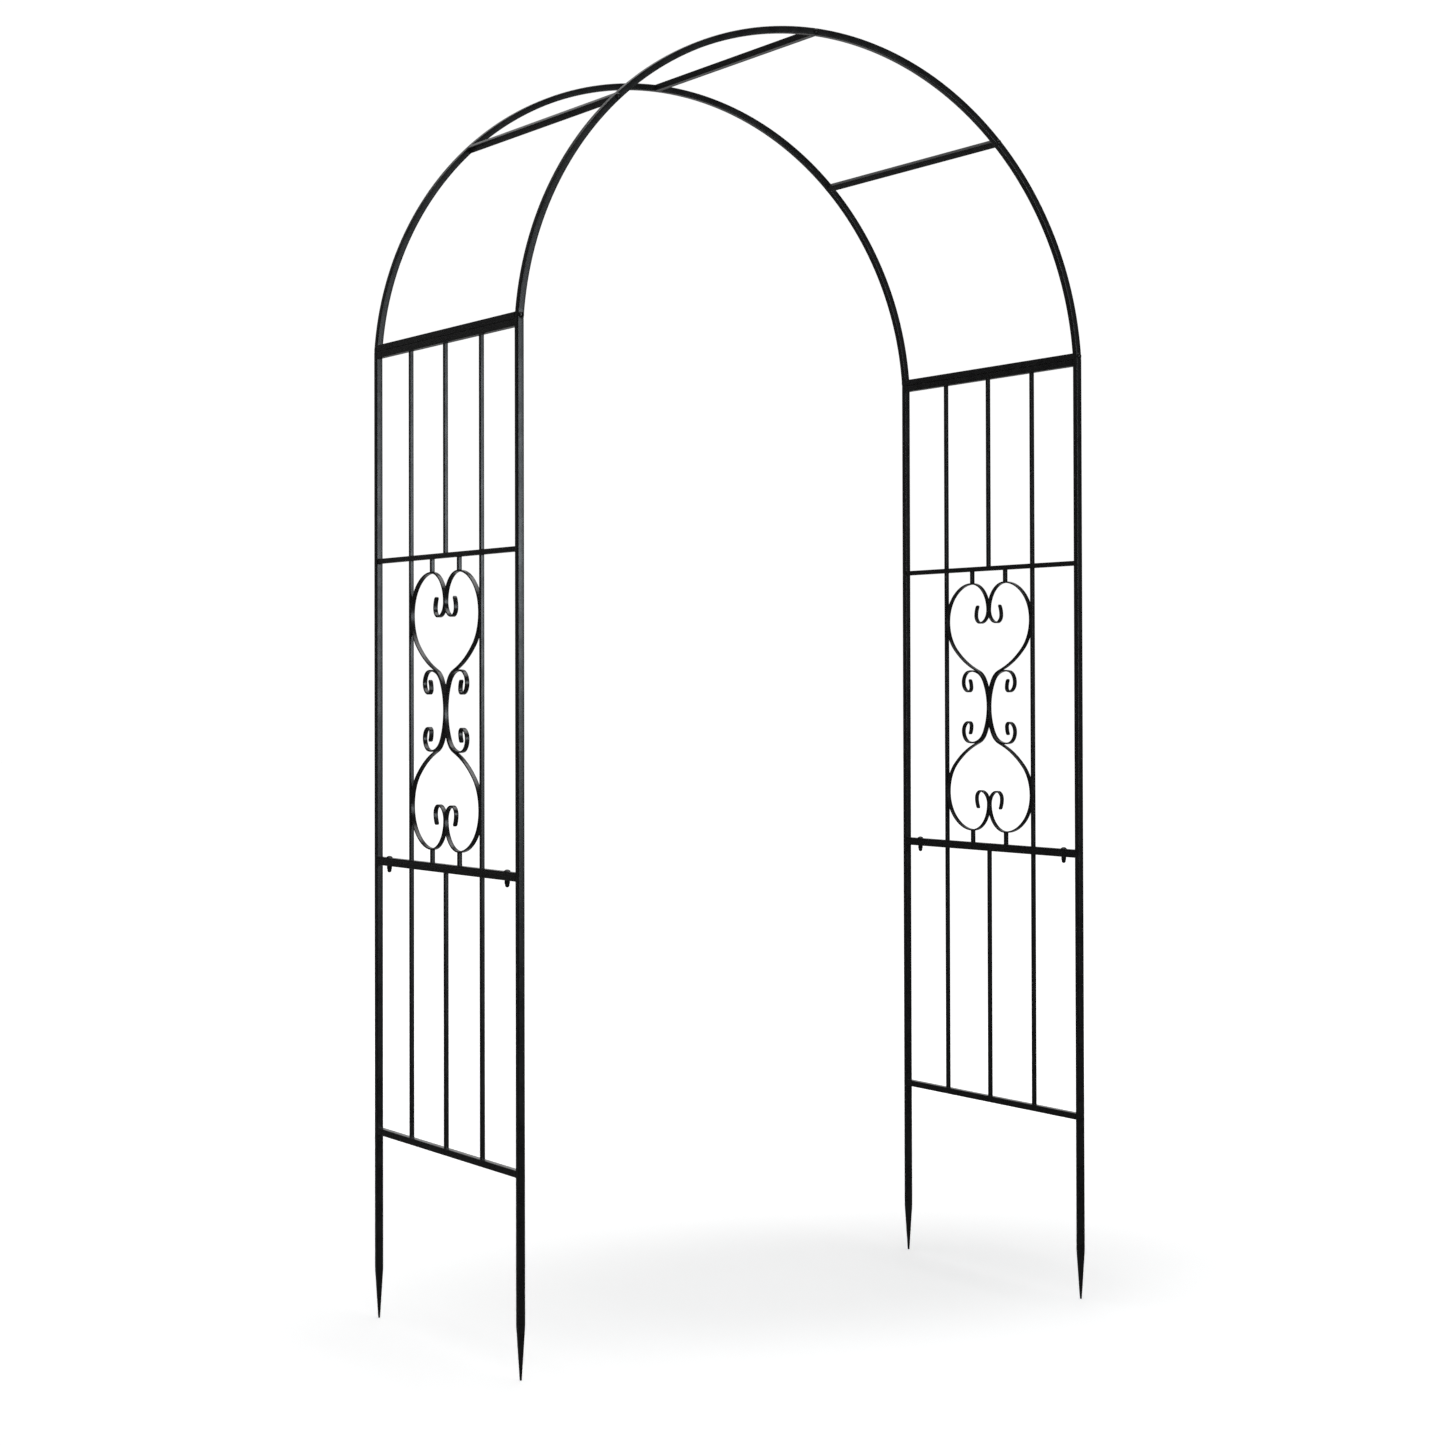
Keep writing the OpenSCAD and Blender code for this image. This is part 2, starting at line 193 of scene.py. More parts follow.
tube_coat = coated_metal(
    "tube_powder_coat",
    dark=(0.0035, 0.0035, 0.0037),
    light=(0.0074, 0.0074, 0.0075),
    smooth=0.24,
    dull=0.33,
    peel=0.5,
)
scroll_coat = coated_metal(
    "scroll_powder_coat",
    dark=(0.0034, 0.0034, 0.0035),
    light=(0.007, 0.007, 0.007),
    smooth=0.24,
    dull=0.34,
    peel=0.6,
)
weld_coat = coated_metal(
    "weld_powder_coat",
    dark=(0.004, 0.004, 0.0042),
    light=(0.011, 0.011, 0.011),
    smooth=0.22,
    dull=0.4,
    peel=0.9,
)
screw_coat = worn_metal(
    "black_plated_steel",
    dark=(0.006, 0.006, 0.0065),
    light=(0.018, 0.018, 0.0175),
    smooth=0.2,
    dull=0.34,
    metallic=0.5,
)
recess_metal = worn_metal(
    "worn_recess_steel",
    dark=(0.2, 0.195, 0.185),
    light=(0.55, 0.54, 0.52),
    smooth=0.22,
    dull=0.4,
    metallic=1.0,
)

# ---------------------------------------------------------------- mesh building


def rounded_rectangle(width, height, radius):
    """Points of a rectangle with round corners, anticlockwise."""
    points = []
    for quarter in range(4):
        corner_x = (width / 2 - radius) * (1 if quarter in (0, 3) else -1)
        corner_y = (height / 2 - radius) * (1 if quarter < 2 else -1)
        for step in range(CORNER_STEPS + 1):
            turn = math.radians(90) * (quarter + step / CORNER_STEPS)
            points.append((corner_x + radius * math.cos(turn), corner_y + radius * math.sin(turn)))
    return points


def ring(origin, across, up, width, height, radius):
    return [origin + across * u + up * v for u, v in rounded_rectangle(width, height, radius)]


def loft(mesh, rings, closed=False):
    """Joins rings of equal length into a skin, with its ends capped, or joined into a loop when closed."""
    corners = [[mesh.verts.new(point) for point in points] for points in rings]
    count = len(corners[0])
    pairs = list(zip(corners, corners[1:]))
    if closed:
        pairs.append((corners[-1], corners[0]))
    for first, second in pairs:
        for i in range(count):
            j = (i + 1) % count
            mesh.faces.new((first[i], first[j], second[j], second[i]))
    if not closed:
        mesh.faces.new(reversed(corners[0]))
        mesh.faces.new(corners[-1])
    return mesh


def piece(name, mesh, materials, slot, *nodes, sharp=35):
    """Turns a bmesh into a smooth-shaded object of the part, which rides on its one body."""
    bmesh.ops.recalc_face_normals(mesh, faces=mesh.faces)
    data = bpy.data.meshes.new(name)
    mesh.to_mesh(data)
    mesh.free()
    for material in materials:
        data.materials.append(material)
    data.shade_smooth()
    data.set_sharp_from_angle(angle=math.radians(sharp))
    made = bpy.data.objects.new(name, data)
    bpy.context.scene.collection.objects.link(made)
    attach(made, "root")
    if nodes:
        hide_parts(*nodes)
    return made


def straight_rings(start, end, across, up, width, height, radius):
    """The two end rings of a straight bar."""
    return [ring(point, across, up, width, height, radius) for point in (start, end)]


# ---------------------------------------------------------------- posts

BORE = TUBE - 2 * WALL
SPIGOT = BORE - 2 * SPIGOT_FIT
SPIGOT_BORE = BORE - 2 * WALL
SPIGOT_CORNER = 0.5 * MM
SPIGOT_ROOT = 10 * MM
SPIGOT_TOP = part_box("lower_post_front_left")[1].z
HOOP_R = POST_X / math.cos(HOOP_LEAN)
HOOP_Z = TOP_JOINT - HOOP_R * math.sin(HOOP_LEAN)
TOP_SPIGOT_ANGLE = math.radians(2)
TOP_SPIGOT_SHARES = (0.15, 0.6, 1)


def post_ring(x, y, z, side, radius):
    return ring(Vector((x, y, z)), X, Y, side, side, radius)


def lower_post(x, y):
    """Spike, tube and spigot, up the outside and down the bore.

    Each station is a height, a side and a corner radius.
    """
    stations = [
        (0, SPIKE_TIP - TIP_ROUND_W, 0.5 * MM),
        (TIP_ROUND_H, SPIKE_TIP, 0.6 * MM),
        (SPIKE_H - SHOULDER_H, TUBE - SHOULDER_W, CORNER),
        (SPIKE_H + SHOULDER_H, TUBE, CORNER),
        (MID_JOINT - END_ROUND, TUBE, CORNER),
        (MID_JOINT, TUBE - 2 * END_ROUND, CORNER),
        (MID_JOINT, SPIGOT, SPIGOT_CORNER),
        (SPIGOT_TOP - END_ROUND, SPIGOT, SPIGOT_CORNER),
        (SPIGOT_TOP, SPIGOT - 2 * END_ROUND, SPIGOT_CORNER),
        (SPIGOT_TOP, SPIGOT_BORE, SPIGOT_CORNER),
        (MID_JOINT - SPIGOT_ROOT, SPIGOT_BORE, SPIGOT_CORNER),
        (MID_JOINT - SPIGOT_ROOT, BORE, SPIGOT_CORNER),
        (SPIKE_H, BORE, SPIGOT_CORNER),
    ]
    return loft(bmesh.new(), [post_ring(x, y, *station) for station in stations])


def hoop_point(angle, side):
    """A point on the hoop's centre line and the outward direction there; the angle is from the horizontal."""
    outward = Vector((side * math.cos(angle), 0, math.sin(angle)))
    return Vector((0, 0, HOOP_Z)) + outward * HOOP_R, outward


def hoop_ring(angle, side, y, size, radius):
    point, outward = hoop_point(angle, side)
    return ring(point + Y * y, outward, Y, size, size, radius)


def joint_ring(side, y, size, radius):
    """The foot of a hoop leg, cut level."""
    outward = X * side / math.cos(HOOP_LEAN)
    return ring(Vector((side * POST_X, y, TOP_JOINT)), outward, Y, size, size, radius)


def upper_post(side, y):
    """Tube and a spigot that follows the hoop: up the outside, over the spigot and down the bore."""
    x = side * POST_X
    outer = [
        (MID_JOINT, TUBE - 2 * END_ROUND, CORNER),
        (MID_JOINT + END_ROUND, TUBE, CORNER),
        (TOP_JOINT - END_ROUND, TUBE, CORNER),
        (TOP_JOINT, TUBE - 2 * END_ROUND, CORNER),
    ]
    inner = [(TOP_JOINT - SPIGOT_ROOT, BORE, SPIGOT_CORNER), (MID_JOINT, BORE, SPIGOT_CORNER)]
    steps = [HOOP_LEAN + TOP_SPIGOT_ANGLE * share for share in TOP_SPIGOT_SHARES]
    rings = [post_ring(x, y, *station) for station in outer]
    rings.append(joint_ring(side, y, SPIGOT, SPIGOT_CORNER))
    rings += [hoop_ring(angle, side, y, SPIGOT, SPIGOT_CORNER) for angle in steps]
    rings += [hoop_ring(angle, side, y, SPIGOT_BORE, SPIGOT_CORNER) for angle in reversed(steps)]
    rings.append(joint_ring(side, y, SPIGOT_BORE, SPIGOT_CORNER))
    rings += [post_ring(x, y, *station) for station in inner]
    return loft(bmesh.new(), rings, closed=True)


# ---------------------------------------------------------------- hoops

CROWN_SPIGOT = math.radians(2.4)
CROWN_SPIGOT_SHARES = (-0.3, 0.5, 1)
JOINT_CLEARANCE = math.radians(0.15)
CROWN_CLEARANCE = math.radians(0.25)
RIGHT_ANGLE = math.radians(90)


def crown_ring(side, y, size, inset, radius):
    """The cut at the crown: square at its foot and open at its top."""
    lean = math.tan(CROWN_GAP)
    outward = Z + X * side * lean
    foot = Vector((0, y, HOOP_Z + HOOP_R)) + X * side * (TUBE / 2 * lean + inset)
    return ring(foot, outward, Y, size, size, radius)


def hoop_half(side, y):
    """One hoop half from joint to crown; a left half also carries the spigot that enters the right one."""
    first = HOOP_LEAN + JOINT_CLEARANCE
    last = RIGHT_ANGLE - CROWN_CLEARANCE
    count = round((last - first) / ARC_STEP)
    angles = [first + (last - first) * i / count for i in range(count + 1)]
    eased = TUBE - 2 * END_ROUND
    rings = [joint_ring(side, y, eased, CORNER)]
    rings += [hoop_ring(angle, side, y, TUBE, CORNER) for angle in angles]
    rings += [crown_ring(side, y, TUBE, END_ROUND, CORNER), crown_ring(side, y, eased, 0, CORNER)]
    if side < 0:
        past = [RIGHT_ANGLE + CROWN_SPIGOT * share for share in CROWN_SPIGOT_SHARES]
        rings += [hoop_ring(angle, side, y, SPIGOT, SPIGOT_CORNER) for angle in past]
        rings += [hoop_ring(angle, side, y, SPIGOT_BORE, SPIGOT_CORNER) for angle in reversed(past)]
    else:
        rings.append(crown_ring(side, y, BORE, 0, SPIGOT_CORNER))
    rings += [hoop_ring(angle, side, y, BORE, SPIGOT_CORNER) for angle in reversed(angles)]
    rings.append(joint_ring(side, y, BORE, SPIGOT_CORNER))
    return loft(bmesh.new(), rings, closed=True)


def build_frame_tubes():
    for side, sx in SIDES.items():
        for face, sy in FACES.items():
            where = f"{face}_{side}"
            piece(f"lower_post_{where}_coated", lower_post(sx * POST_X, sy * POST_Y), [tube_coat],
                  "tube_coating", f"lower_post_{where}")
            piece(f"upper_post_{where}_coated", upper_post(sx, sy * POST_Y), [tube_coat],
                  "tube_coating", f"upper_post_{where}")
            piece(f"hoop_{where}_coated", hoop_half(sx, sy * POST_Y), [tube_coat],
                  "tube_coating", f"hoop_{where}")


# ---------------------------------------------------------------- rails, bars and crossbars


def rail(node, radius):
    """A rail along Y that fills its node's box."""
    low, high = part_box(node)
    middle = (low + high) / 2
    start, end = Vector((middle.x, low.y, middle.z)), Vector((middle.x, high.y, middle.z))
    rings = straight_rings(start, end, X, Z, high.x - low.x, high.z - low.z, radius)
    return loft(bmesh.new(), rings)


def bar(node, radius):
    """A bar along Z that fills its node's box."""
    low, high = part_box(node)
    middle = (low + high) / 2
    start, end = Vector((middle.x, middle.y, low.z)), Vector((middle.x, middle.y, high.z))
    rings = straight_rings(start, end, X, Y, high.x - low.x, high.y - low.y, radius)
    return loft(bmesh.new(), rings)


def crossbar(node):
    """A square tube along Y, turned to face the hoops' centre."""
    low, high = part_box(node)
    middle = (low + high) / 2
    outward = Vector((middle.x, 0, middle.z - HOOP_Z)).normalized()
    sideways = outward.cross(Y)
    start, end = Vector((middle.x, low.y, middle.z)), Vector((middle.x, high.y, middle.z))
    return loft(bmesh.new(), straight_rings(start, end, sideways, outward, TUBE, TUBE, CORNER))


RAIL_CORNERS = {
    "bottom_rail": CORNER,
    "lower_top_rail": CORNER,
    "joint_strip": FLAT_STRIP_CORNER,
    "middle_rail": THIN_CORNER,
    "upper_top_rail": CORNER,
    "arch_base_rail": CORNER,
}
CROSSBARS = ("crossbar_left", "crossbar_crown", "crossbar_right")


def build_rails_and_bars():
    for side in SIDES:
        for kind, radius in RAIL_CORNERS.items():
            node = f"{kind}_{side}"
            piece(f"{node}_coated", rail(node, radius), [tube_coat], "tube_coating", node)
        for number in (1, 2, 3):
            for kind in ("lower_bar", "upper_bar"):
                node = f"{kind}_{side}_{number}"
                piece(f"{node}_coated", bar(node, BAR_CORNER), [tube_coat], "tube_coating", node)
    for node in CROSSBARS:
        piece(f"{node}_coated", crossbar(node), [tube_coat], "tube_coating", node)


# ---------------------------------------------------------------- scrollwork
# A pose is (x, y, heading). A step is (radius, angle in degrees), with left turns positive, or (0, length)
# when it is straight.

GAP = 0.05 * MM
END_SHRINK = 0.72


def arc_centre(pose, radius):
    x, y, heading = pose
    return x - radius * math.sin(heading), y + radius * math.cos(heading)


def on_arc(centre, radius, heading):
    return centre[0] + radius * math.sin(heading), centre[1] - radius * math.cos(heading), heading


def advance(pose, step):
    radius, amount = step
    if radius == 0:
        return pose[0] + amount * math.cos(pose[2]), pose[1] + amount * math.sin(pose[2]), pose[2]
    heading = pose[2] + math.copysign(math.radians(amount), radius)
    return on_arc(arc_centre(pose, radius), radius, heading)


def after(pose, steps):
    for step in steps:
        pose = advance(pose, step)
    return pose


def trace(pose, steps):
    """Poses along the whole chain, close enough together to look round."""
    poses = [pose]
    for radius, amount in steps:
        count = STRAIGHT_STEPS if radius == 0 else max(2, math.ceil(math.radians(amount) / CURL_STEP))
        start = poses[-1]
        poses += [advance(start, (radius, amount * (i + 1) / count)) for i in range(count)]
    return poses


C_BODY_R, C_BODY_TURN = 100 * MM, 30
C_SHOULDER_R = 38 * MM
C_STEPS = [
    (-C_BODY_R, C_BODY_TURN),
    (-C_SHOULDER_R, 40),
    (-60 * MM, 30),
    (-22 * MM, 80),
    (-18 * MM, 90),
    (-8 * MM, 90),
    (-30 * MM, 32),
]
C_START = (STRIP_T / 2 + GAP, 0.0, math.radians(90))
C_BODY_CENTRE = arc_centre(C_START, -C_BODY_R)
C_SHOULDER = arc_centre(after(C_START, C_STEPS[:1]), -C_SHOULDER_R)

SCROLL_PITCH = STRIP_T + GAP
HEART_BODY_R = C_BODY_R + SCROLL_PITCH
HEART_START_TURN = math.degrees(math.acos(C_BODY_R / HEART_BODY_R))
HEART_LEAVE_TURN = 40
HEART_LEAD_R, HEART_LEAD_TURN = 200 * MM, 22
HEART_SIDE_R = 74 * MM
HEART_BULGE_R = 67.5 * MM
HEART_OUTER = BAR_Y - BAR / 2 - STRIP_T / 2 - GAP
HALF_TURN = math.radians(45)
HEART_SHOULDER_R = (
    HEART_OUTER - STUB_Y - HEART_BULGE_R * (1 - math.cos(HALF_TURN))
) / math.sin(HALF_TURN)
HEART_START = on_arc(C_BODY_CENTRE, -HEART_BODY_R, math.radians(90 - HEART_START_TURN))
HEART_LOWER_STEPS = [
    (-HEART_BODY_R, C_BODY_TURN - HEART_START_TURN),
    (-C_SHOULDER_R - SCROLL_PITCH, HEART_LEAVE_TURN),
]
HEART_RISE = after(HEART_START, HEART_LOWER_STEPS)
HEART_SIDE_HEADING = HEART_RISE[2] + math.radians(HEART_LEAD_TURN)
HEART_LEAD_OUT = HEART_LEAD_R * (math.sin(HEART_SIDE_HEADING) - math.sin(HEART_RISE[2]))
HEART_SIDE_OUT = HEART_SIDE_R * (1 - math.sin(HEART_SIDE_HEADING))
HEART_RUN = (HEART_OUTER - HEART_SIDE_OUT - HEART_LEAD_OUT - HEART_RISE[0]) / math.cos(HEART_RISE[2])
HEART_STEPS = HEART_LOWER_STEPS + [
    (0, HEART_RUN),
    (HEART_LEAD_R, HEART_LEAD_TURN),
    (HEART_SIDE_R, 90 - math.degrees(HEART_SIDE_HEADING)),
    (HEART_BULGE_R, 45),
    (HEART_SHOULDER_R, 45),
    (52.4 * MM, 90),
    (25 * MM, 90),
    (14.4 * MM, 90),
    (36 * MM, 33),
]


def panel_point(side, face_sign, level_sign, x, y):
    """A point of the panel drawing, in the row frame."""
    return Vector((side * POST_X, face_sign * x, SCROLL_MIDDLE + level_sign * y))


def strip_rings(poses, side, face_sign, level_sign):
    rings = []
    for x, y, heading in poses:
        origin = panel_point(side, face_sign, level_sign, x, y)
        left = Vector((0, -face_sign * math.sin(heading), level_sign * math.cos(heading)))
        rings.append(ring(origin, X, left, STRIP_W, STRIP_T, STRIP_ROUND))
    return rings


def eased_ends(rings, at_start):
    """Shrinks the last ring, and the first when asked, so that the cut ends are softly rounded."""
    for index, ask in ((0, at_start), (-1, True)):
        if ask:
            middle = sum(rings[index], Vector()) / len(rings[index])
            rings[index] = [middle + (point - middle) * END_SHRINK for point in rings[index]]
    return rings


def build_scrolls():
    c_half = trace(C_START, C_STEPS)
    c_whole = [(x, -y, math.pi - heading) for x, y, heading in reversed(c_half[1:])] + c_half
    heart = trace(HEART_START, HEART_STEPS)
    for side, sx in SIDES.items():
        for face, sy in FACES.items():
            node = f"c_scroll_{face}_{side}"
            rings = eased_ends(strip_rings(c_whole, sx, sy, 1), True)
            piece(f"{node}_coated", loft(bmesh.new(), rings), [scroll_coat], "scroll_coating", node)
            for level, up in LEVELS.items():
                node = f"heart_{level}_{face}_{side}"
                rings = eased_ends(strip_rings(heart, sx, sy, up), False)
                piece(f"{node}_coated", loft(bmesh.new(), rings), [scroll_coat], "scroll_coating", node)
        for level in LEVELS:
            node = f"scroll_stubs_{level}_{side}"
            low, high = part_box(node)
            mesh = bmesh.new()
            for face_sign in FACES.values():
                start = Vector((sx * POST_X, face_sign * STUB_Y, low.z))
                end = Vector((sx * POST_X, face_sign * STUB_Y, high.z))
                loft(mesh, straight_rings(start, end, X, Y, BAR, BAR, BAR_CORNER))
            piece(f"{node}_coated", mesh, [scroll_coat], "scroll_coating", node)


# ---------------------------------------------------------------- weld beads

BEAD_SIDES = 10
BEAD_STEP = 0.7 * MM
THIN_BEAD = 0.85 * MM
STUB_BEAD = 0.8 * MM
BEAD_SETBACK = 0.6 * MM
RIPPLE_PITCH = 1.1 * MM
RIPPLE_SIZE = 0.1
ROUGH_SIZE = 0.22
ROUGH_PER_METRE = 300
LUMP_SIZE = 0.25
LUMP_SCALE = 1.7
FIRST_SEED = 100
TOUCH_TURN = 4
TOUCH_SHARE = 0.75
STEPS_TO_SIDE_ARC = HEART_STEPS[:4]


def bead(mesh, start, end, seed, radius=BEAD):
    """A run of weld between two points: a soft round rope with the ripples that a weld pool leaves."""
    along = end - start
    length = along.length
    along.normalize()
    across = along.orthogonal().normalized()
    up = along.cross(across)
    count = max(8, round(length / BEAD_STEP))
    rings = []
    for i in range(count + 1):
        share = i / count
        ease = math.sqrt(max(0.05, 1 - abs(2 * share - 1) ** 5))
        ripple = 1 + RIPPLE_SIZE * math.sin(length * share / RIPPLE_PITCH * math.pi + seed)
        rough = 1 + ROUGH_SIZE * noise.noise(Vector((share * length * ROUGH_PER_METRE, seed * 3.1, 0.5)))
        size = radius * ease * ripple * rough
        origin = start + along * (length * share)
        rings.append([
            origin + (across * math.cos(turn) + up * math.sin(turn)) * size
            for turn in (2 * math.pi * k / BEAD_SIDES for k in range(BEAD_SIDES))
        ])
    loft(mesh, rings)


def blob(mesh, middle, size, seed):
    """A spot of weld: a flattened lump, uneven all round."""
    made = bmesh.ops.create_icosphere(mesh, subdivisions=3, radius=1.0)["verts"]
    for vert in made:
        lump = 1 + LUMP_SIZE * noise.noise(vert.co * LUMP_SCALE + Vector((seed * 5.3, seed * 1.9, seed)))
        vert.co = middle + Vector((vert.co.x * size.x, vert.co.y * size.y, vert.co.z * size.z)) * lump


# Where a rail end can be welded to its post: below it, above it or, when not listed, both
WELDS_BELOW = ("lower_top_rail", "upper_top_rail")
WELDS_ABOVE = ("joint_strip", "arch_base_rail")


def weld_levels(kind, below, above):
    if kind in WELDS_BELOW:
        return [below]
    if kind in WELDS_ABOVE:
        return [above]
    return [below, above]


def rail_welds(mesh, side, seed):
    """Beads above and below each rail end, where it meets a post."""
    for kind in RAIL_CORNERS:
        low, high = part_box(f"{kind}_{side}")
        half = (high.x - low.x) / 2 - CORNER
        middle = (low.x + high.x) / 2
        for y in (low.y, high.y):
            for z in weld_levels(kind, low.z, high.z):
                seed += 1
                bead(mesh, Vector((middle - half, y, z)), Vector((middle + half, y, z)), seed)
    return seed


def bar_welds(mesh, side, seed):
    """Beads on both sides of each bar's ends, and round the middle rail where the long bars pass."""
    half = BAR / 2
    for kind in ("lower_bar", "upper_bar"):
        for number in (1, 2, 3):
            low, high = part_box(f"{kind}_{side}_{number}")
            levels = [low.z, high.z]
            if kind == "upper_bar" and number != 2:
                levels += [MIDDLE_RAIL[0].z, MIDDLE_RAIL[1].z]
            middle = (low.x + high.x) / 2
            reach = half - BEAD_SETBACK
            for z in levels:
                for y in (low.y, high.y):
                    seed += 1
                    start, end = Vector((middle - reach, y, z)), Vector((middle + reach, y, z))
                    bead(mesh, start, end, seed, THIN_BEAD)
    return seed


def scroll_welds(mesh, sx, seed):
    """Spots of weld where the strips touch each other, the stubs and the bars.

    A spot on the panel's midline is made once for both faces, and the one at its centre once in all.
    """
    half = STRIP_W / 2
    leave = math.radians(C_BODY_TURN + HEART_LEAVE_TURN + TOUCH_TURN)
    reach = C_SHOULDER_R + STRIP_T * TOUCH_SHARE
    shoulder_touch = [C_SHOULDER[0] - reach * math.cos(leave), C_SHOULDER[1] + reach * math.sin(leave)]
    widest = arc_centre(after(HEART_START, STEPS_TO_SIDE_ARC), HEART_SIDE_R)
    side_touch = [HEART_OUTER + STRIP_T / 2, widest[1]]
    # Each spot: its place on the panel drawing and its half sizes
    spots = [
        (shoulder_touch, Vector((half * 0.96, 1.7 * MM, 1.5 * MM))),
        (side_touch, Vector((half * 0.9, 1.1 * MM, 2.1 * MM))),
        ([0.0, HEART_START[1] - 1.2 * MM], Vector((half * 0.96, 1.5 * MM, 1.9 * MM))),
        ([0.0, 0.0], Vector((half * 0.96, 1.2 * MM, 3.2 * MM))),
    ]
    for face_sign in FACES.values():
        for level_sign in LEVELS.values():
            for (x, y), size in spots:
                seed += 1
                on_midline = x == 0.0
                at_centre = on_midline and y == 0.0
                if (on_midline and face_sign < 0) or (at_centre and level_sign < 0):
                    continue
                blob(mesh, panel_point(sx, face_sign, level_sign, x, y), size, seed)
            for edge in (-1, 1):
                for level in (LOBE_TOP, SCROLL_W / 2):
                    seed += 1
                    where = panel_point(sx, face_sign, level_sign, STUB_Y + edge * BAR / 2, level)
                    reach = X * (BAR / 2 - BEAD_SETBACK)
                    bead(mesh, where - reach, where + reach, seed, STUB_BEAD)


def build_welds():
    for side, sx in SIDES.items():
        mesh = bmesh.new()
        seed = rail_welds(mesh, side, FIRST_SEED * sx)
        seed = bar_welds(mesh, side, seed)
        piece(f"frame_welds_{side}", mesh, [weld_coat], "tube_coating", sharp=60)
        mesh = bmesh.new()
        scroll_welds(mesh, sx, seed)
        piece(f"scroll_welds_{side}", mesh, [weld_coat], "scroll_coating", sharp=60)


# ---------------------------------------------------------------- fasteners

TURNED_STEPS = 48
DOME_STEPS = 10
SHANK_R = 2.4 * MM
SHANK_TIP_H = 0.8 * MM
SHANK_TIP_SHARE = 0.6
PAN_HEAD_R = 5.25 * MM
PAN_RIM_H = 0.9 * MM
PAN_EDGE_H = 0.25 * MM
PAN_EDGE_W = 0.2 * MM
RECESS_LENGTH = 5.4 * MM
RECESS_WIDTH = 1.05 * MM
RECESS_DEPTH = 1.7 * MM
RECESS_REACH = 3.4 * MM
RECESS_SKIN = 0.08 * MM
# The recess's length and width at its foot and above its mouth, as shares of the sizes above
RECESS_FOOT = (0.35, 0.7)
RECESS_MOUTH = (1.12, 1.1)
RECESS_CORNER = 0.05 * MM
CUT_MARGIN = 1 * MM
CROSSBAR_SCREW_LENGTH = 16 * MM
JOINT_SCREW_LENGTH = 8 * MM
FIRST_SPIN = 0.7
SPIN_STEP = 1.3
BOLT_TIP_H = 0.6 * MM
BOLT_TIP_SHARE = 0.8
BOLT_RIM_H = 0.6 * MM
BOLT_EDGE_H = 0.2 * MM
BOLT_EDGE_W = 0.3 * MM
NUT_FLATS = 4.0 * MM
# Rings wider than the flats are cut to the hexagon, so these shares set how far a corner stands out
NUT_CORNERS = NUT_FLATS * 1.15
NUT_FOOT_R = NUT_FLATS * 0.99
NUT_SEAT_R = NUT_FLATS * 0.9
NUT_EASED_R = NUT_FLATS * 1.02
NUT_HEX_H = 6 * MM
NUT_CHAMFER_TOP = 0.5 * MM
NUT_CHAMFER_FOOT = 5.3 * MM
NUT_DOME_R = 3.8 * MM
NUT_DOME_Z = 8 * MM


def lathe(mesh, profile, place, shape=lambda radius, turn: radius):
    """Turns (radius, height) points about local Z; shape may make a ring other than round."""
    turns = [2 * math.pi * k / TURNED_STEPS for k in range(TURNED_STEPS)]
    rings = []
    for radius, height in profile:
        reaches = [shape(radius, turn) for turn in turns]
        rings.append([
            place @ Vector((reach * math.cos(turn), reach * math.sin(turn), height))
            for reach, turn in zip(reaches, turns)
        ])
    loft(mesh, rings)


def ball_radius(radius, rise):
    """Radius of the ball whose cap is this wide and this high."""
    return (radius ** 2 + rise ** 2) / (2 * rise)


def dome_profile(radius, rim, height):
    """From the rim up over the dome to just short of the middle."""
    ball = ball_radius(radius, height - rim)
    edge = math.asin(radius / ball)
    angles = [edge * (1 - i / DOME_STEPS) for i in range(DOME_STEPS)] + [edge * 0.02]
    return [(ball * math.sin(a), height - ball * (1 - math.cos(a))) for a in angles]


def placed(origin, up):
    """A frame at origin with its Z along up."""
    return Matrix.Translation(origin) @ up.to_track_quat("Z", "Y").to_matrix().to_4x4()


def wedge_cutter(length, width, depth, height):
    """One arm pair of a cross recess: wide at its mouth and narrow at its foot."""
    mesh = bmesh.new()
    stations = [
        (height - depth, length * RECESS_FOOT[0], width * RECESS_FOOT[1]),
        (height + CUT_MARGIN, length * RECESS_MOUTH[0], width * RECESS_MOUTH[1]),
    ]
    loft(mesh, [ring(Z * z, X, Y, a, b, RECESS_CORNER) for z, a, b in stations])
    return mesh


def as_object(mesh, name):
    bmesh.ops.recalc_face_normals(mesh, faces=mesh.faces)
    data = bpy.data.meshes.new(name)
    mesh.to_mesh(data)
    mesh.free()
    made = bpy.data.objects.new(name, data)
    bpy.context.scene.collection.objects.link(made)
    return made


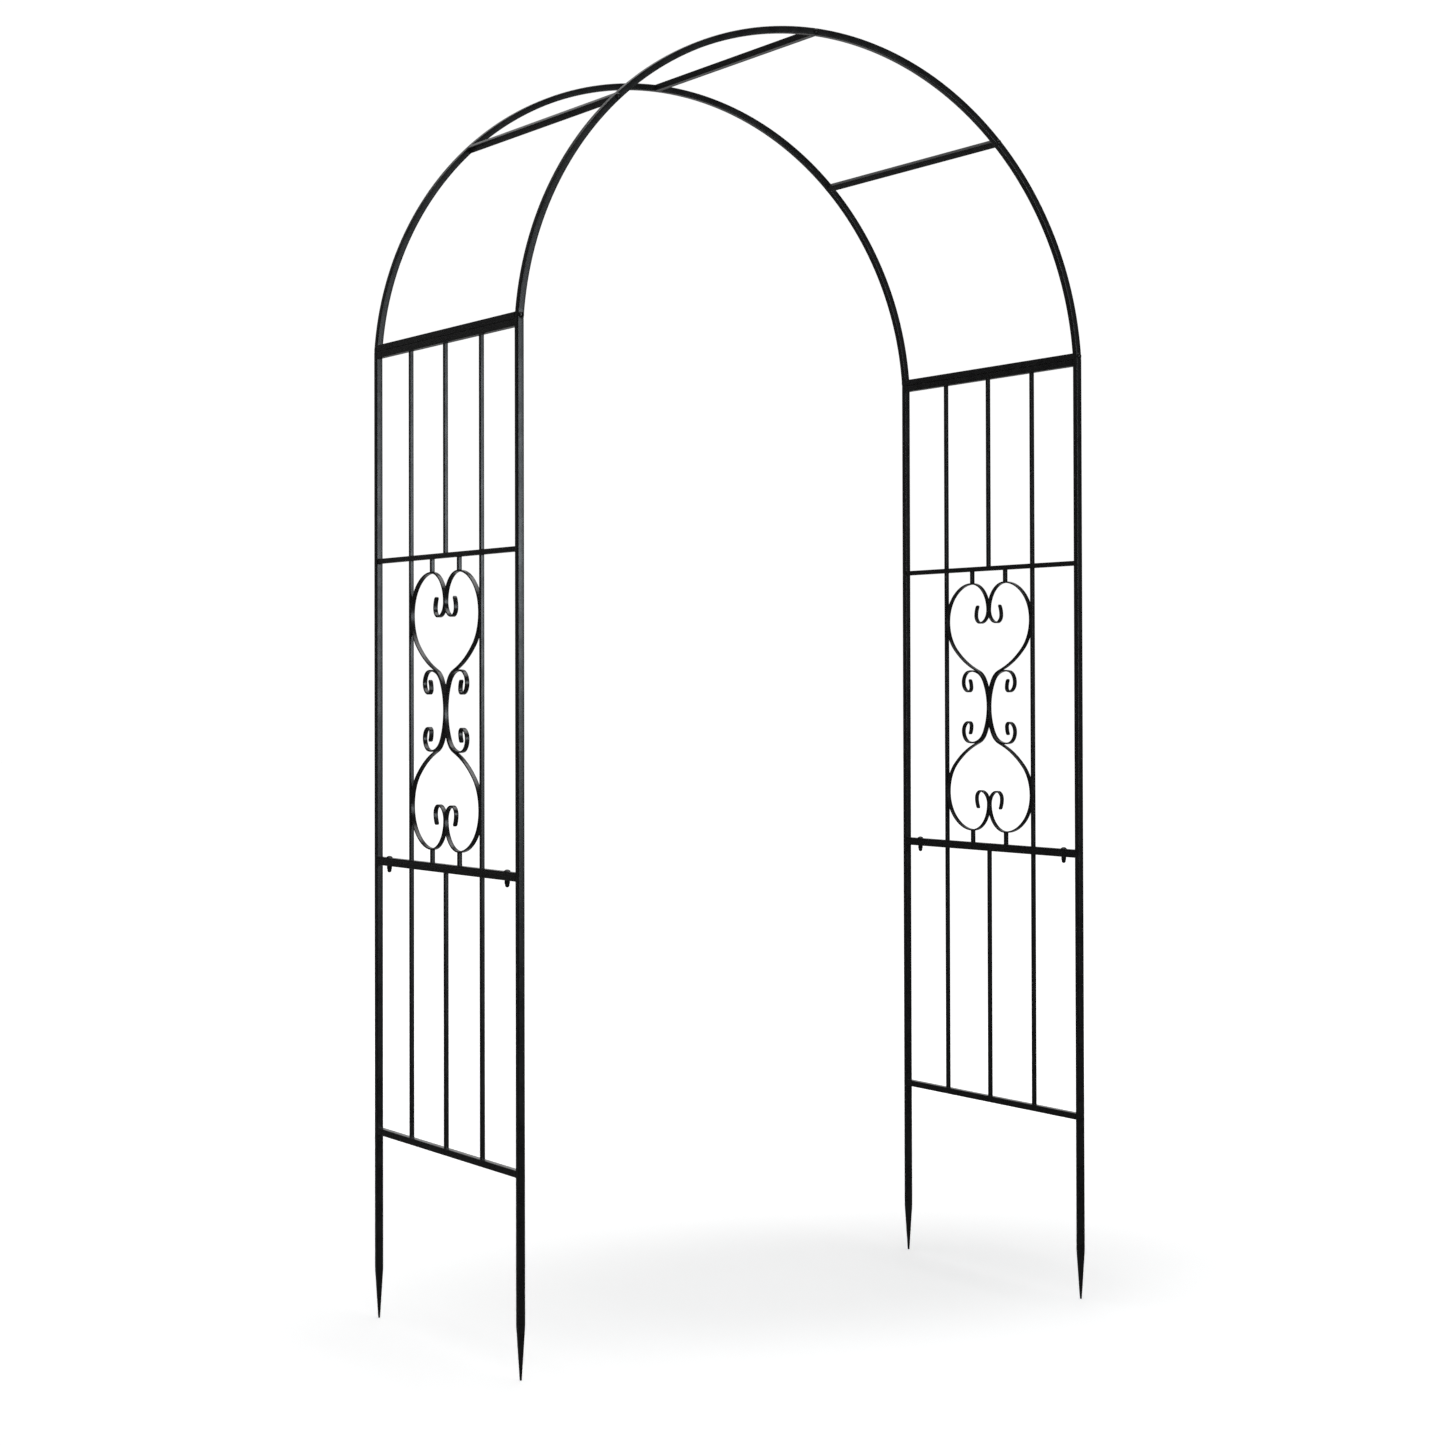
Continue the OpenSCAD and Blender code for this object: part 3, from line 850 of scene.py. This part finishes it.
def pan_screw_mesh(radius, height, length):
    """A cross-recessed pan head screw as mesh data, with its head on z = 0; the recess is material 1."""
    profile = [
        (SHANK_R * SHANK_TIP_SHARE, -length),
        (SHANK_R, -length + SHANK_TIP_H),
        (SHANK_R, 0),
        (radius - PAN_EDGE_W, 0),
        (radius, PAN_EDGE_H),
    ]
    profile += dome_profile(radius, PAN_RIM_H, height)
    head = bmesh.new()
    lathe(head, profile, Matrix.Identity(4))
    body = as_object(head, "screw_blank")
    cutters = []
    for turn in (0, 90):
        cutter = as_object(wedge_cutter(RECESS_LENGTH, RECESS_WIDTH, RECESS_DEPTH, height), f"recess_{turn}")
        cutter.matrix_world = Matrix.Rotation(math.radians(turn), 4, "Z")
        modifier = body.modifiers.new(f"recess_{turn}", "BOOLEAN")
        modifier.operation = "DIFFERENCE"
        modifier.solver = "EXACT"
        modifier.object = cutter
        cutters.append(cutter)
    bpy.context.view_layer.update()
    evaluated = body.evaluated_get(bpy.context.evaluated_depsgraph_get())
    data = bpy.data.meshes.new_from_object(evaluated)
    for made in [body, *cutters]:
        bpy.data.objects.remove(made)
    ball = ball_radius(radius, height - PAN_RIM_H)
    for face in data.polygons:
        reach = math.hypot(face.center.x, face.center.y)
        surface = height - ball + math.sqrt(max(0.0, ball ** 2 - reach ** 2))
        is_recess = reach < RECESS_REACH and PAN_EDGE_W < face.center.z < surface - RECESS_SKIN
        face.material_index = 1 if is_recess else 0
    return data


def build_screws(name, node, places, length):
    head_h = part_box(node)[1].y - POST_Y - TUBE / 2
    data = pan_screw_mesh(PAN_HEAD_R, head_h, length)
    mesh = bmesh.new()
    for i, place in enumerate(places):
        start = len(mesh.verts)
        mesh.from_mesh(data)
        mesh.verts.ensure_lookup_table()
        spin = Matrix.Rotation(FIRST_SPIN + SPIN_STEP * i, 4, "Z")
        bmesh.ops.transform(mesh, matrix=place @ spin, verts=mesh.verts[start:])
    piece(name, mesh, [screw_coat, recess_metal], "fastener_coating", node, sharp=30)
    bpy.data.meshes.remove(data)


def hexagon(radius, turn):
    """Keeps a ring within the six flats."""
    part = (turn + math.pi / 6) % (math.pi / 3) - math.pi / 6
    return min(radius, NUT_FLATS / math.cos(part))


def cap_nut(mesh, place):
    """A cap nut that hangs below its seat: chamfered hexagon, collar and dome."""
    profile = [
        (NUT_SEAT_R, 0),
        (NUT_EASED_R, 0),
        (NUT_CORNERS, NUT_CHAMFER_TOP),
        (NUT_CORNERS, NUT_CHAMFER_FOOT),
        (NUT_FOOT_R, NUT_HEX_H),
        (NUT_DOME_R, NUT_HEX_H),
        (NUT_DOME_R, NUT_DOME_Z),
    ]
    for step in range(1, DOME_STEPS):
        rise = math.radians(90 * step / DOME_STEPS)
        profile.append((NUT_DOME_R * math.cos(rise), NUT_DOME_Z + NUT_DOME_R * math.sin(rise)))
    profile.append((0.02 * MM, NUT_DOME_Z + NUT_DOME_R))
    lathe(mesh, profile, place, hexagon)


def build_crossbar_screws():
    places = []
    for sy in FACES.values():
        for node in CROSSBARS:
            middle = centre_of(node)
            places.append(placed(Vector((middle.x, sy * (POST_Y + TUBE / 2), middle.z)), Y * sy))
    build_screws("crossbar_screws_plated", "crossbar_screws", places, CROSSBAR_SCREW_LENGTH)


def build_joint_screws():
    low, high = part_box("joint_screws")
    reach, level = high.x - PAN_HEAD_R, (low.z + high.z) / 2
    places = [
        placed(Vector((sx * reach, sy * (POST_Y + TUBE / 2), level)), Y * sy)
        for sx in SIDES.values() for sy in FACES.values()
    ]
    build_screws("joint_screws_plated", "joint_screws", places, JOINT_SCREW_LENGTH)


def build_rail_bolts():
    """The domed bolts through the middle joint, and the cap nuts below it."""
    low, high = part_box("rail_bolts")
    head_r = high.x - POST_X
    bolt_y = high.y - head_r
    length = PANEL_FLOOR - low.z
    under_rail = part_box("cap_nuts")[1].z
    profile = [
        (SHANK_R * BOLT_TIP_SHARE, -length),
        (SHANK_R, -length + BOLT_TIP_H),
        (SHANK_R, 0),
        (head_r - BOLT_EDGE_W, 0),
        (head_r, BOLT_EDGE_H),
    ]
    profile += dome_profile(head_r, BOLT_RIM_H, high.z - PANEL_FLOOR)
    bolts, nuts = bmesh.new(), bmesh.new()
    for sx in SIDES.values():
        for sy in FACES.values():
            seat = Vector((sx * POST_X, sy * bolt_y, PANEL_FLOOR))
            lathe(bolts, profile, Matrix.Translation(seat))
            cap_nut(nuts, placed(Vector((seat.x, seat.y, under_rail)), -Z))
    piece("rail_bolts_plated", bolts, [screw_coat], "fastener_coating", "rail_bolts", sharp=30)
    piece("cap_nuts_plated", nuts, [screw_coat], "fastener_coating", "cap_nuts", sharp=30)


# ---------------------------------------------------------------- stage, light and camera

STAGE_R = 40.0
STAGE_STEPS = 96
WHITE = (1.0, 1.0, 1.0, 1.0)


def stage_object(name, mesh, material):
    data = bpy.data.meshes.new(name)
    mesh.to_mesh(data)
    mesh.free()
    data.materials.append(material)
    data.shade_smooth()
    made = bpy.data.objects.new(name, data)
    bpy.context.scene.collection.objects.link(made)
    return made


# The soft shade under the arch: its middle, its half sizes along X and Y, and its depth
SHADE_MIDDLE = (0.25, 0.15, 0.0)
SHADE_REACH = (0.98, 0.74, 1.0)
SHADE_DEPTH = 0.16
SHADE_CORE, SHADE_EDGE = 0.25, 1.1
# How brightly the floor glows close by and far off, and between which distances it changes
FLOOR_NEAR, FLOOR_FAR = 0.6, 4.5
FLOOR_NEAR_GLOW, FLOOR_FAR_GLOW = 0.525, 1.02


def vector_node(nodes, links, operation, vector, constant=None):
    step = nodes.new("ShaderNodeVectorMath")
    step.operation = operation
    links.new(vector, step.inputs[0])
    if constant is not None:
        step.inputs[1].default_value = constant
    return step.outputs["Value" if operation in ("LENGTH", "DOT_PRODUCT") else "Vector"]


def smooth_node(nodes, links, value, start, end, low, high):
    """Runs softly from low to high while the value goes from start to end."""
    spread = nodes.new("ShaderNodeMapRange")
    spread.interpolation_type = "SMOOTHSTEP"
    spread.inputs["From Min"].default_value = start
    spread.inputs["From Max"].default_value = end
    spread.inputs["To Min"].default_value = low
    spread.inputs["To Max"].default_value = high
    links.new(value, spread.inputs["Value"])
    return spread.outputs["Result"]


def maths_node(nodes, links, operation, first, second):
    step = nodes.new("ShaderNodeMath")
    step.operation = operation
    links.new(first, step.inputs[0])
    if isinstance(second, float):
        step.inputs[1].default_value = second
    else:
        links.new(second, step.inputs[1])
    return step.outputs["Value"]


def floor_material():
    """Pale and matt, with a soft shade under the arch.

    It brightens with distance and so meets the backdrop unseen.
    """
    material, nodes, links, shader = new_material("pale_floor")
    where = nodes.new("ShaderNodeTexCoord").outputs["Object"]
    distance = vector_node(nodes, links, "LENGTH", where)
    glow = smooth_node(nodes, links, distance, FLOOR_NEAR, FLOOR_FAR, FLOOR_NEAR_GLOW, FLOOR_FAR_GLOW)
    from_shade = vector_node(nodes, links, "SUBTRACT", where, SHADE_MIDDLE)
    scaled = vector_node(nodes, links, "DIVIDE", from_shade, SHADE_REACH)
    radius = vector_node(nodes, links, "LENGTH", scaled)
    shade = smooth_node(nodes, links, radius, SHADE_CORE, SHADE_EDGE, SHADE_DEPTH, 0.0)
    links.new(maths_node(nodes, links, "SUBTRACT", glow, shade), shader.inputs["Emission Strength"])
    shader.inputs["Emission Color"].default_value = WHITE
    shader.inputs["Base Color"].default_value = (0.8, 0.8, 0.8, 1)
    shader.inputs["Roughness"].default_value = 0.95
    shader.inputs["Specular IOR Level"].default_value = 0
    return material


def backdrop_material():
    material, _, _, shader = new_material("white_backdrop")
    shader.inputs["Base Color"].default_value = (0, 0, 0, 1)
    shader.inputs["Specular IOR Level"].default_value = 0
    shader.inputs["Emission Color"].default_value = WHITE
    shader.inputs["Emission Strength"].default_value = FLOOR_FAR_GLOW
    return material


def build_stage():
    mesh = bmesh.new()
    bmesh.ops.create_circle(mesh, cap_ends=True, segments=STAGE_STEPS, radius=STAGE_R)
    floor = stage_object("floor", mesh, floor_material())
    floor.visible_glossy = False
    mesh = bmesh.new()
    bmesh.ops.create_uvsphere(mesh, u_segments=STAGE_STEPS, v_segments=STAGE_STEPS // 2, radius=STAGE_R)
    backdrop = stage_object("backdrop", mesh, backdrop_material())
    backdrop.visible_glossy = False
    backdrop.visible_diffuse = False
    backdrop.visible_shadow = False


def area_light(name, location, target, size, power, colour):
    light = bpy.data.lights.new(name, "AREA")
    light.color = colour
    light.shape = "RECTANGLE"
    light.size, light.size_y = size
    light.energy = power
    made = bpy.data.objects.new(name, light)
    made.location = location
    made.rotation_mode = "QUATERNION"
    made.rotation_quaternion = (Vector(target) - Vector(location)).to_track_quat("-Z", "Y")
    made.visible_camera = False
    bpy.context.scene.collection.objects.link(made)


BACK_DIRECTION = (0.53, 0.85, 0.0)
WORLD_DIM = 0.06
WORLD_BRIGHT = 0.8
BRIGHT_END = (0.64, 0.97)
# Grey of the bright end by height, from 0 (30 degrees down) to 1 (30 degrees up):
# the near floor, a dark gap beyond it, and the bright wall above the horizon
WORLD_BANDS = [(0.24, (0.8, 0.8, 0.8)), (0.32, (0, 0, 0)), (0.455, (0, 0, 0)), (0.5, (1, 1, 1))]


def build_world():
    """A dim room with one bright end behind the arch, which gives the tubes their soft edges."""
    world = bpy.data.worlds.new("studio")
    bpy.context.scene.world = world
    world.use_nodes = True
    nodes, links = world.node_tree.nodes, world.node_tree.links
    direction = nodes.new("ShaderNodeTexCoord").outputs["Generated"]
    facing = vector_node(nodes, links, "DOT_PRODUCT", direction, BACK_DIRECTION)
    bright = smooth_node(nodes, links, facing, *BRIGHT_END, WORLD_DIM, WORLD_BRIGHT)
    height = nodes.new("ShaderNodeSeparateXYZ")
    links.new(direction, height.inputs["Vector"])
    level = maths_node(nodes, links, "ADD", height.outputs["Z"], 0.5)
    banded = maths_node(nodes, links, "MULTIPLY", bright, ramp_node(nodes, links, level, WORLD_BANDS))
    background = nodes["Background"]
    background.inputs["Color"].default_value = WHITE
    links.new(maths_node(nodes, links, "MAXIMUM", banded, WORLD_DIM), background.inputs["Strength"])


def build_lights():
    build_world()
    area_light(
        "key_softbox",
        location=(1.3, -4.6, 1.61),
        target=(-0.4, 0, 1.28),
        size=(1.2, 1.3),
        power=35,
        colour=(0.87, 0.95, 1.0),
    )
    area_light(
        "top_softbox",
        location=(0, 0, 5.0),
        target=(0, 0, 0),
        size=(4.0, 4.0),
        power=160,
        colour=(1.0, 1.0, 1.0),
    )


CAMERA_AT = Vector((-2.7474, -4.5308, 1.1407))
CAMERA_YAW = math.radians(32.164)
CAMERA_PITCH = math.radians(0.726)
CAMERA_ROLL = math.radians(-0.152)


def build_camera():
    """Eye height, to the front left, turned and framed as the reference view."""
    camera = bpy.data.cameras.new("camera")
    camera.sensor_width = 36
    camera.lens = 71.71
    camera.shift_x = -0.0398
    camera.shift_y = -0.0502
    camera.clip_end = 200
    flat = Vector((math.sin(CAMERA_YAW), math.cos(CAMERA_YAW), 0))
    forward = flat * math.cos(CAMERA_PITCH) + Z * math.sin(CAMERA_PITCH)
    level = Vector((math.cos(CAMERA_YAW), -math.sin(CAMERA_YAW), 0))
    up = level.cross(forward)
    right = level * math.cos(CAMERA_ROLL) + up * math.sin(CAMERA_ROLL)
    top = up * math.cos(CAMERA_ROLL) - level * math.sin(CAMERA_ROLL)
    made = bpy.data.objects.new("camera", camera)
    made.matrix_world = Matrix.Translation(CAMERA_AT) @ Matrix((right, top, -forward)).transposed().to_4x4()
    bpy.context.scene.collection.objects.link(made)
    bpy.context.scene.camera = made


build_camera()
build_frame_tubes()
build_rails_and_bars()
build_scrolls()
build_welds()
build_crossbar_screws()
build_joint_screws()
build_rail_bolts()
build_stage()
build_lights()
bpy.context.scene.view_settings.view_transform = "Standard"
